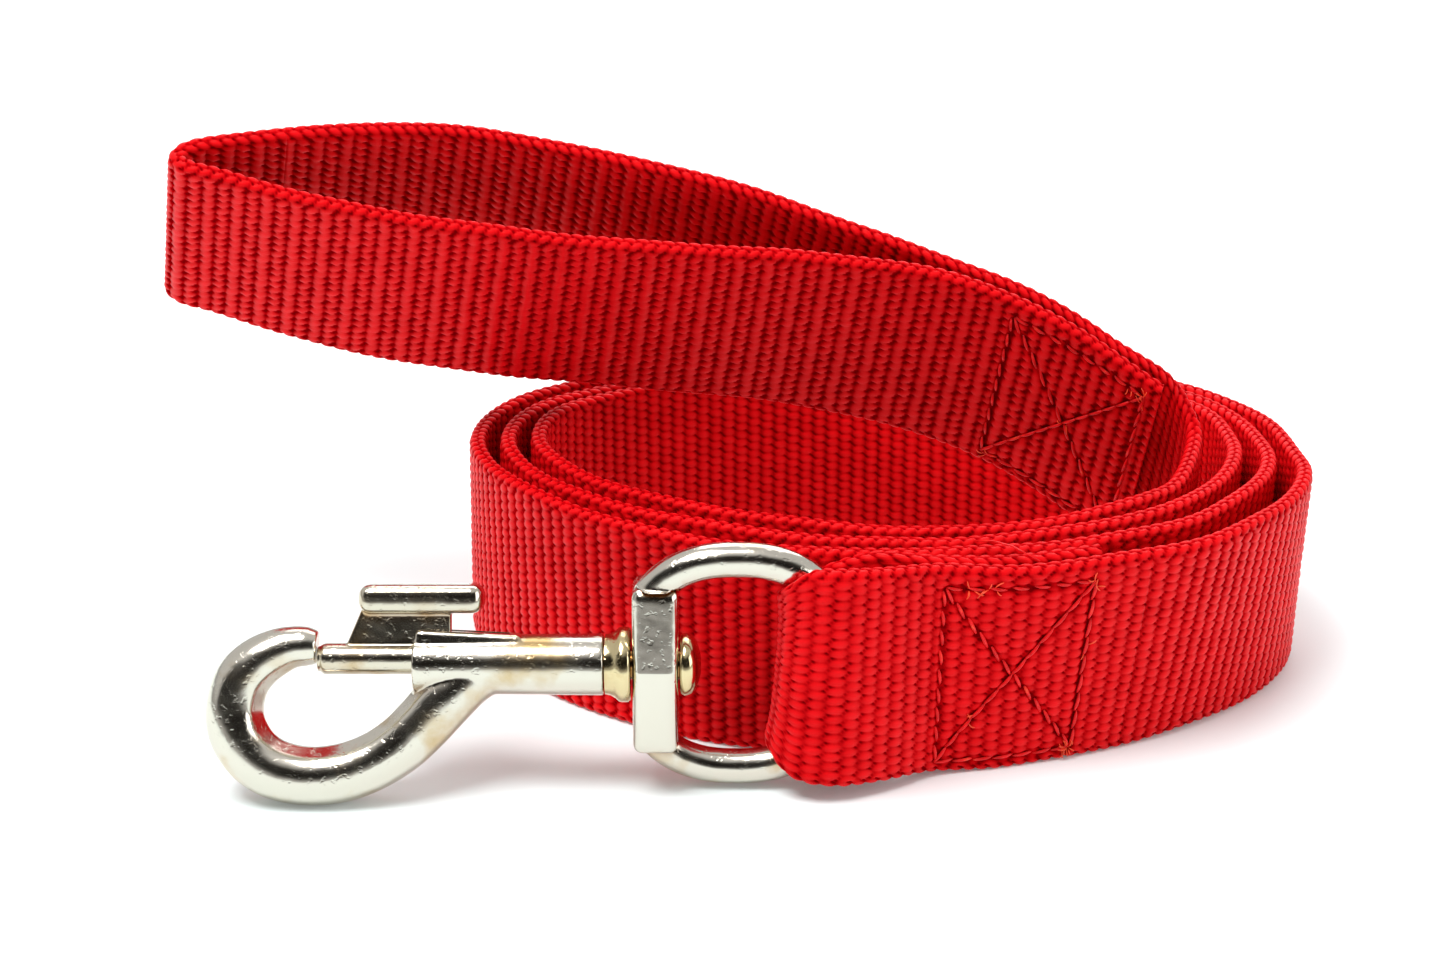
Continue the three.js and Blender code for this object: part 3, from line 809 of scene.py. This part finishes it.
def placed(obj, rolled=True):
    """Carries a piece from the barrel's own axes to its place, in metres."""
    turn = Matrix.Rotation(-SNAP_ROLL, 4, "X") if rolled else Matrix.Identity(4)
    obj.data.transform(Matrix.Scale(MM, 4) @ Matrix.Translation(AXIS + CENTRE) @ turn)
    obj.data.update()
    return obj


def smooth_curve(points, many):
    """Points on the smooth curve through a few, evenly counted."""
    return through(np.array(points, float), np.linspace(0, len(points) - 1, many))


def swept(name, path, section):
    """A closed bar in the XZ plane. section(k) gives (side, inward) points in millimetres."""
    along = np.gradient(path[:, :2], axis=0)
    along /= np.linalg.norm(along, axis=1)[:, None]
    points = []
    for k, (x, z, _) in enumerate(path):
        inward = (-along[k, 1], along[k, 0])
        for side, deep in section(k):
            points.append((x + inward[0] * deep, side, z + inward[1] * deep))
    count = len(points) // len(path)
    index = np.arange(len(points)).reshape(len(path), count)
    beside = np.roll(index, -1, axis=1)
    quads = np.stack([index[:-1], index[1:], beside[1:], beside[:-1]], axis=-1).reshape(-1, 4)
    triangles = [(index[0][0], index[0][n], index[0][n + 1]) for n in range(1, count - 1)]
    triangles += [(index[-1][0], index[-1][n + 1], index[-1][n]) for n in range(1, count - 1)]
    obj = mesh_of(name, np.array(points), quads, np.array(triangles))
    alone(obj)
    bpy.ops.object.mode_set(mode="EDIT")
    bpy.ops.mesh.select_all(action="SELECT")
    bpy.ops.mesh.normals_make_consistent(inside=False)
    bpy.ops.object.mode_set(mode="OBJECT")
    return obj


# %% [markdown]
# ## The snap's body
# The body is one casting: a barrel for the bolt, with a raised rim round its thumb slot, and a hook whose
# bar swells towards its bend. A curve with a round bevel can swell too, but it can't have flats, so the
# bar is swept in code from rings that each have their own radius. The bore and the slot are cut after
# the smoothing, which would round their edges away.

# %% Snap body
SHRINK = 0.2  # how much a smoothed casting draws in
HOOK_RINGS = 120
BAR_SIDES = 48
hook_path = smooth_curve(HOOK, HOOK_RINGS)


def hook_section(k):
    """A round section with two flats, on the side that faces the hook's mouth."""
    radius = hook_path[k, 2] + SHRINK
    taper = min(1, 0.85 + 0.15 * k / 4)
    points = []
    for n in range(BAR_SIDES):
        angle = 2 * math.pi * n / BAR_SIDES
        reach = 1.0
        for flat in (math.radians(62), math.radians(118)):
            facing = math.cos(angle - flat)
            reach = min(reach, 0.93 / facing) if facing > 0.5 else reach
        points.append((radius * taper * reach * math.cos(angle), radius * taper * reach * math.sin(angle)))
    return points


rim = block((BARREL_LEFT + 0.2, -2.1, 1.0), (-22.6, 2.1, RIM_TOP), 0.6)
for vertex in rim.data.vertices:
    if vertex.co.z > 2:
        vertex.co.z -= 0.09 * max(0, vertex.co.x - RIM_FALL)
body = cast(
    "snap_body_casting",
    [
        rod(BARREL_LEFT, BARREL_RIGHT, BARREL_RADIUS + 0.1, BARREL_TAIL_RADIUS + 0.1),
        swept("hook bar", hook_path, hook_section),
        rim,
    ],
    voxel=0.18,
    smooth=6,
)
drilled(
    body,
    rod(BARREL_LEFT - 2, BORE_END, BORE_RADIUS, rise=BOLT_RISE),
    rod(BORE_END - 1, BARREL_RIGHT + 1, BORE_RADIUS),
    block((BARREL_LEFT - 2, -1.0, 0.6), (SLOT_END, 1.0, RIM_TOP + 2)),
)
print("snap body", len(body.data.polygons), "faces")

# %% [markdown]
# ## The slide bolt
# The bolt is one piece too: a rod with a nose, a thin web that runs in the barrel's slot, and a pad for
# the thumb. The web's front edge slants. It is easier to draw back a corner of a block in edit mode than
# to cut a slant into a fused mesh, so that is done first.

# %% Slide bolt
bolt_rod = rod(-44.1, -26.4, BOLT_RADIUS + 0.08, rise=BOLT_RISE)
modified(bolt_rod, "BEVEL", width=0.5, segments=5, limit_method="ANGLE")
web = block((-41.9, -0.75, 0.6), (-30.2, 0.75, 6.2), 0.25)
alone(web)
bpy.ops.object.mode_set(mode="EDIT")
bpy.ops.mesh.select_all(action="DESELECT")
bpy.ops.object.mode_set(mode="OBJECT")
for vertex in web.data.vertices:  # the web's upper front corner is drawn back, so its front edge slants
    vertex.select = vertex.co.x < -36 and vertex.co.z > 3
bpy.ops.object.mode_set(mode="EDIT")
bpy.ops.transform.translate(value=(2.2, 0, 0))
bpy.ops.object.mode_set(mode="OBJECT")
pad = block((-39.9, -2.6, 5.5), (-26.7, 2.6, 8.6), 1.2)
nose = rod(-44.45, -43.9, 1.35, rise=BOLT_RISE)
bolt = cast("slide_bolt_casting", [bolt_rod, web, pad, nose], voxel=0.14, smooth=4)
print("slide bolt", len(bolt.data.polygons), "faces")

# %% [markdown]
# ## The swivel stud
# The stud is turned: a bell-shaped collar outside the eye's band, a shank that goes through it, and a
# head peened over inside. A turned piece is an outline spun round its axis, and the Screw modifier does
# that in one step from a chain of edges. It keeps crisp shoulders, which a voxel remesh would soften.

# %% Swivel stud
STUD = [  # x and radius: the shank's inner end, the collar, the shank and the peened head
    (-16.1, 0),
    (-16.1, 1.6),
    (-13.8, 1.6),
    (-13.8, 3.2),
    (-13.2, 3.3),
    (-12.7, 3.6),
    (-12.3, 3.95),
    (-12.0, 4.02),
    (-11.35, 4.0),
    (-11.1, 3.8),
    (-11.05, 3.4),
    (-11.05, 1.6),
    (-5.85, 1.6),
    (-5.85, 2.9),
    (-5.7, 3.2),
    (-5.3, 3.35),
    (-4.7, 3.2),
    (-4.2, 2.7),
    (-3.85, 1.9),
    (-3.6, 0.9),
    (-3.58, 0),
]


def turned(name, outline, turns=64):
    """A solid of revolution about X from its outline of (x, radius)."""
    mesh = bpy.data.meshes.new(name)
    mesh.from_pydata([(x, 0, r) for x, r in outline], [(k, k + 1) for k in range(len(outline) - 1)], [])
    obj = bpy.data.objects.new(name, mesh)
    bpy.context.collection.objects.link(obj)
    screw = {"steps": turns, "render_steps": turns, "use_merge_vertices": True, "merge_threshold": 0.001}
    modified(obj, "SCREW", axis="X", **screw)
    alone(obj)
    bpy.ops.object.mode_set(mode="EDIT")
    bpy.ops.mesh.select_all(action="SELECT")
    bpy.ops.mesh.remove_doubles(threshold=0.001)
    bpy.ops.mesh.normals_make_consistent(inside=False)
    bpy.ops.object.mode_set(mode="OBJECT")
    bpy.ops.object.shade_smooth_by_angle(angle=math.radians(50))
    return obj


stud = turned("swivel_stud_turned", STUD)

# %% [markdown]
# ## The swivel eye
# The eye is a ring of round bar that the strap is folded round, with a flat band across its open side
# for the stud to turn in. The ring is swept like the hook, along an oval a little squarer than an
# ellipse, and fused with the band, because the real one is a single casting too.

# %% Swivel eye
EYE_X = 0.2
EYE_WIDE = 11.2
EYE_HIGH = 12.0
EYE_BAR = 1.9
EYE_OPEN = math.radians(143)  # the ring goes this far round on each side, up to its flat band
EYE_POWER = 2 / 2.4  # a little squarer than an ellipse
EYE_RINGS = 160
EYE_SIDES = 32
BAND_LEAN = 0.26
BAND_LEAN_FROM = 0.5  # the height from which the band leans back
BAND_LEAN_TO = 8.6  # how far above that it still leans


def rounded(wave):
    """A sine or cosine raised to the ring's power, with its sign kept."""
    return np.sign(wave) * np.abs(wave) ** EYE_POWER


eye_angles = np.linspace(EYE_OPEN, -EYE_OPEN, EYE_RINGS)
eye_x = EYE_X + EYE_WIDE * rounded(np.cos(eye_angles))
eye_path = np.column_stack([eye_x, EYE_HIGH * rounded(np.sin(eye_angles)), np.full(EYE_RINGS, EYE_BAR)])
bar_angles = np.linspace(0, 2 * math.pi, EYE_SIDES, endpoint=False)
circle = [(EYE_BAR * math.cos(a), EYE_BAR * math.sin(a)) for a in bar_angles]
eye = cast(
    "swivel_eye_casting",
    [
        swept("eye ring", eye_path, lambda k: circle),
        block((-10.85, -3.9, -9.0), (-6.0, 3.9, 9.1), 1.0),
    ],
    voxel=0.18,
    smooth=5,
)
for vertex in eye.data.vertices:  # the front of the band's upper half leans back
    rise = vertex.co.z - BAND_LEAN_FROM
    if vertex.co.x < -5.8 and vertex.co.y < 0 < rise < BAND_LEAN_TO:
        vertex.co.y += BAND_LEAN * rise * min(1, -vertex.co.y / 3.5)
drilled(eye, rod(-12, -5, BORE_RADIUS))
print("swivel eye", len(eye.data.polygons), "faces")

# %% [markdown]
# ## Nickel
# Bright nickel is a slightly warm grey mirror. Tumbling and the thin plate leave it wavy and finely
# pitted, and where the plate is thin or trapped liquid has dried, a brassy stain shows. So the colour
# drifts between grey and straw in patches, the colour turns dark brown in hollows and inner corners, the
# roughness drifts too, and two bumps are laid on each other: a broad one, about 3 mm from wave to wave, and
# pits a few tenths of a millimetre across.


# %% Metal materials
def plated(name, bright, warm, stain, rough):
    """Polished plated metal. stain, 0 to 1, is how much of it is warm."""
    material, tree, shader = new_material(name)
    # in metres: patches about 7 mm across, waves about 3 mm and pits under 1 mm apart
    where = add_node(tree, "ShaderNodeTexCoord").outputs["Object"]
    drift = add_node(tree, "ShaderNodeTexNoise", {"Vector": where, "Scale": 150, "Detail": 5}).outputs["Fac"]
    # where a short ambient occlusion finds close surfaces, in hollows and inner corners, the colour turns
    # dark brown
    hollow = add_node(tree, "ShaderNodeAmbientOcclusion", {"Distance": 0.0016}, samples=8, only_local=True)
    closed = ramp(tree, hollow.outputs["AO"], (0.5, "FFFFFF"), (0.96, "000000"))
    patches = ramp(tree, drift, (0.66 - 0.3 * stain, "000000"), (0.86 - 0.3 * stain, "FFFFFF"))
    plate = mix(tree, patches, bright, warm)
    tree.links.new(mix(tree, closed, plate, "8A5A26"), shader.inputs["Base Color"])
    shader.inputs["Metallic"].default_value = 1
    gloss = add_node(tree, "ShaderNodeMapRange", {"Value": drift, "From Min": 0.3, "From Max": 0.75})
    gloss.inputs["To Min"].default_value = rough
    gloss.inputs["To Max"].default_value = rough + 0.14
    tree.links.new(gloss.outputs[0], shader.inputs["Roughness"])
    waves = add_node(tree, "ShaderNodeTexNoise", {"Vector": where, "Scale": 300, "Detail": 2}).outputs["Fac"]
    broad = add_node(tree, "ShaderNodeBump", {"Height": waves, "Strength": 0.3, "Distance": 0.0003})
    pits = add_node(tree, "ShaderNodeTexNoise", {"Vector": where, "Scale": 1500, "Detail": 3}).outputs["Fac"]
    pits = ramp(tree, pits, (0.32, "000000"), (0.42, "FFFFFF"))
    fine = add_node(tree, "ShaderNodeBump", {"Height": pits, "Strength": 0.4, "Distance": 0.00004})
    tree.links.new(broad.outputs[0], fine.inputs["Normal"])
    tree.links.new(fine.outputs[0], shader.inputs["Normal"])
    return material


nickel = plated("bright nickel plate on zinc", "D6D0C3", "C0A473", 0.4, 0.12)
bolt_plate = plated("nickel plate worn by sliding", "CFC7B6", "B18C50", 0.6, 0.13)
straw = plated("thin nickel plate with brassy stain", "D8C79C", "B08246", 0.85, 0.13)
wire = plated("drawn spring steel", "A8A6A2", "8C8A86", 0.5, 0.25)

for piece, body_name, node, material, slot, rolled in (
    (body, "snap", "snap_body", nickel, "nickel_plate", True),
    (bolt, "bolt", "slide_bolt", bolt_plate, "brassy_plate", True),
    (stud, "snap", "swivel_stud", straw, "brassy_plate", True),
    (eye, "eye", "swivel_eye", nickel, "nickel_plate", False),
):
    placed(piece, rolled)
    piece.data.materials.clear()
    piece.data.materials.append(material)
    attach(piece, body_name)
    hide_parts(node)
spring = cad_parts["bolt_spring"]
spring.data.materials.clear()
spring.data.materials.append(wire)
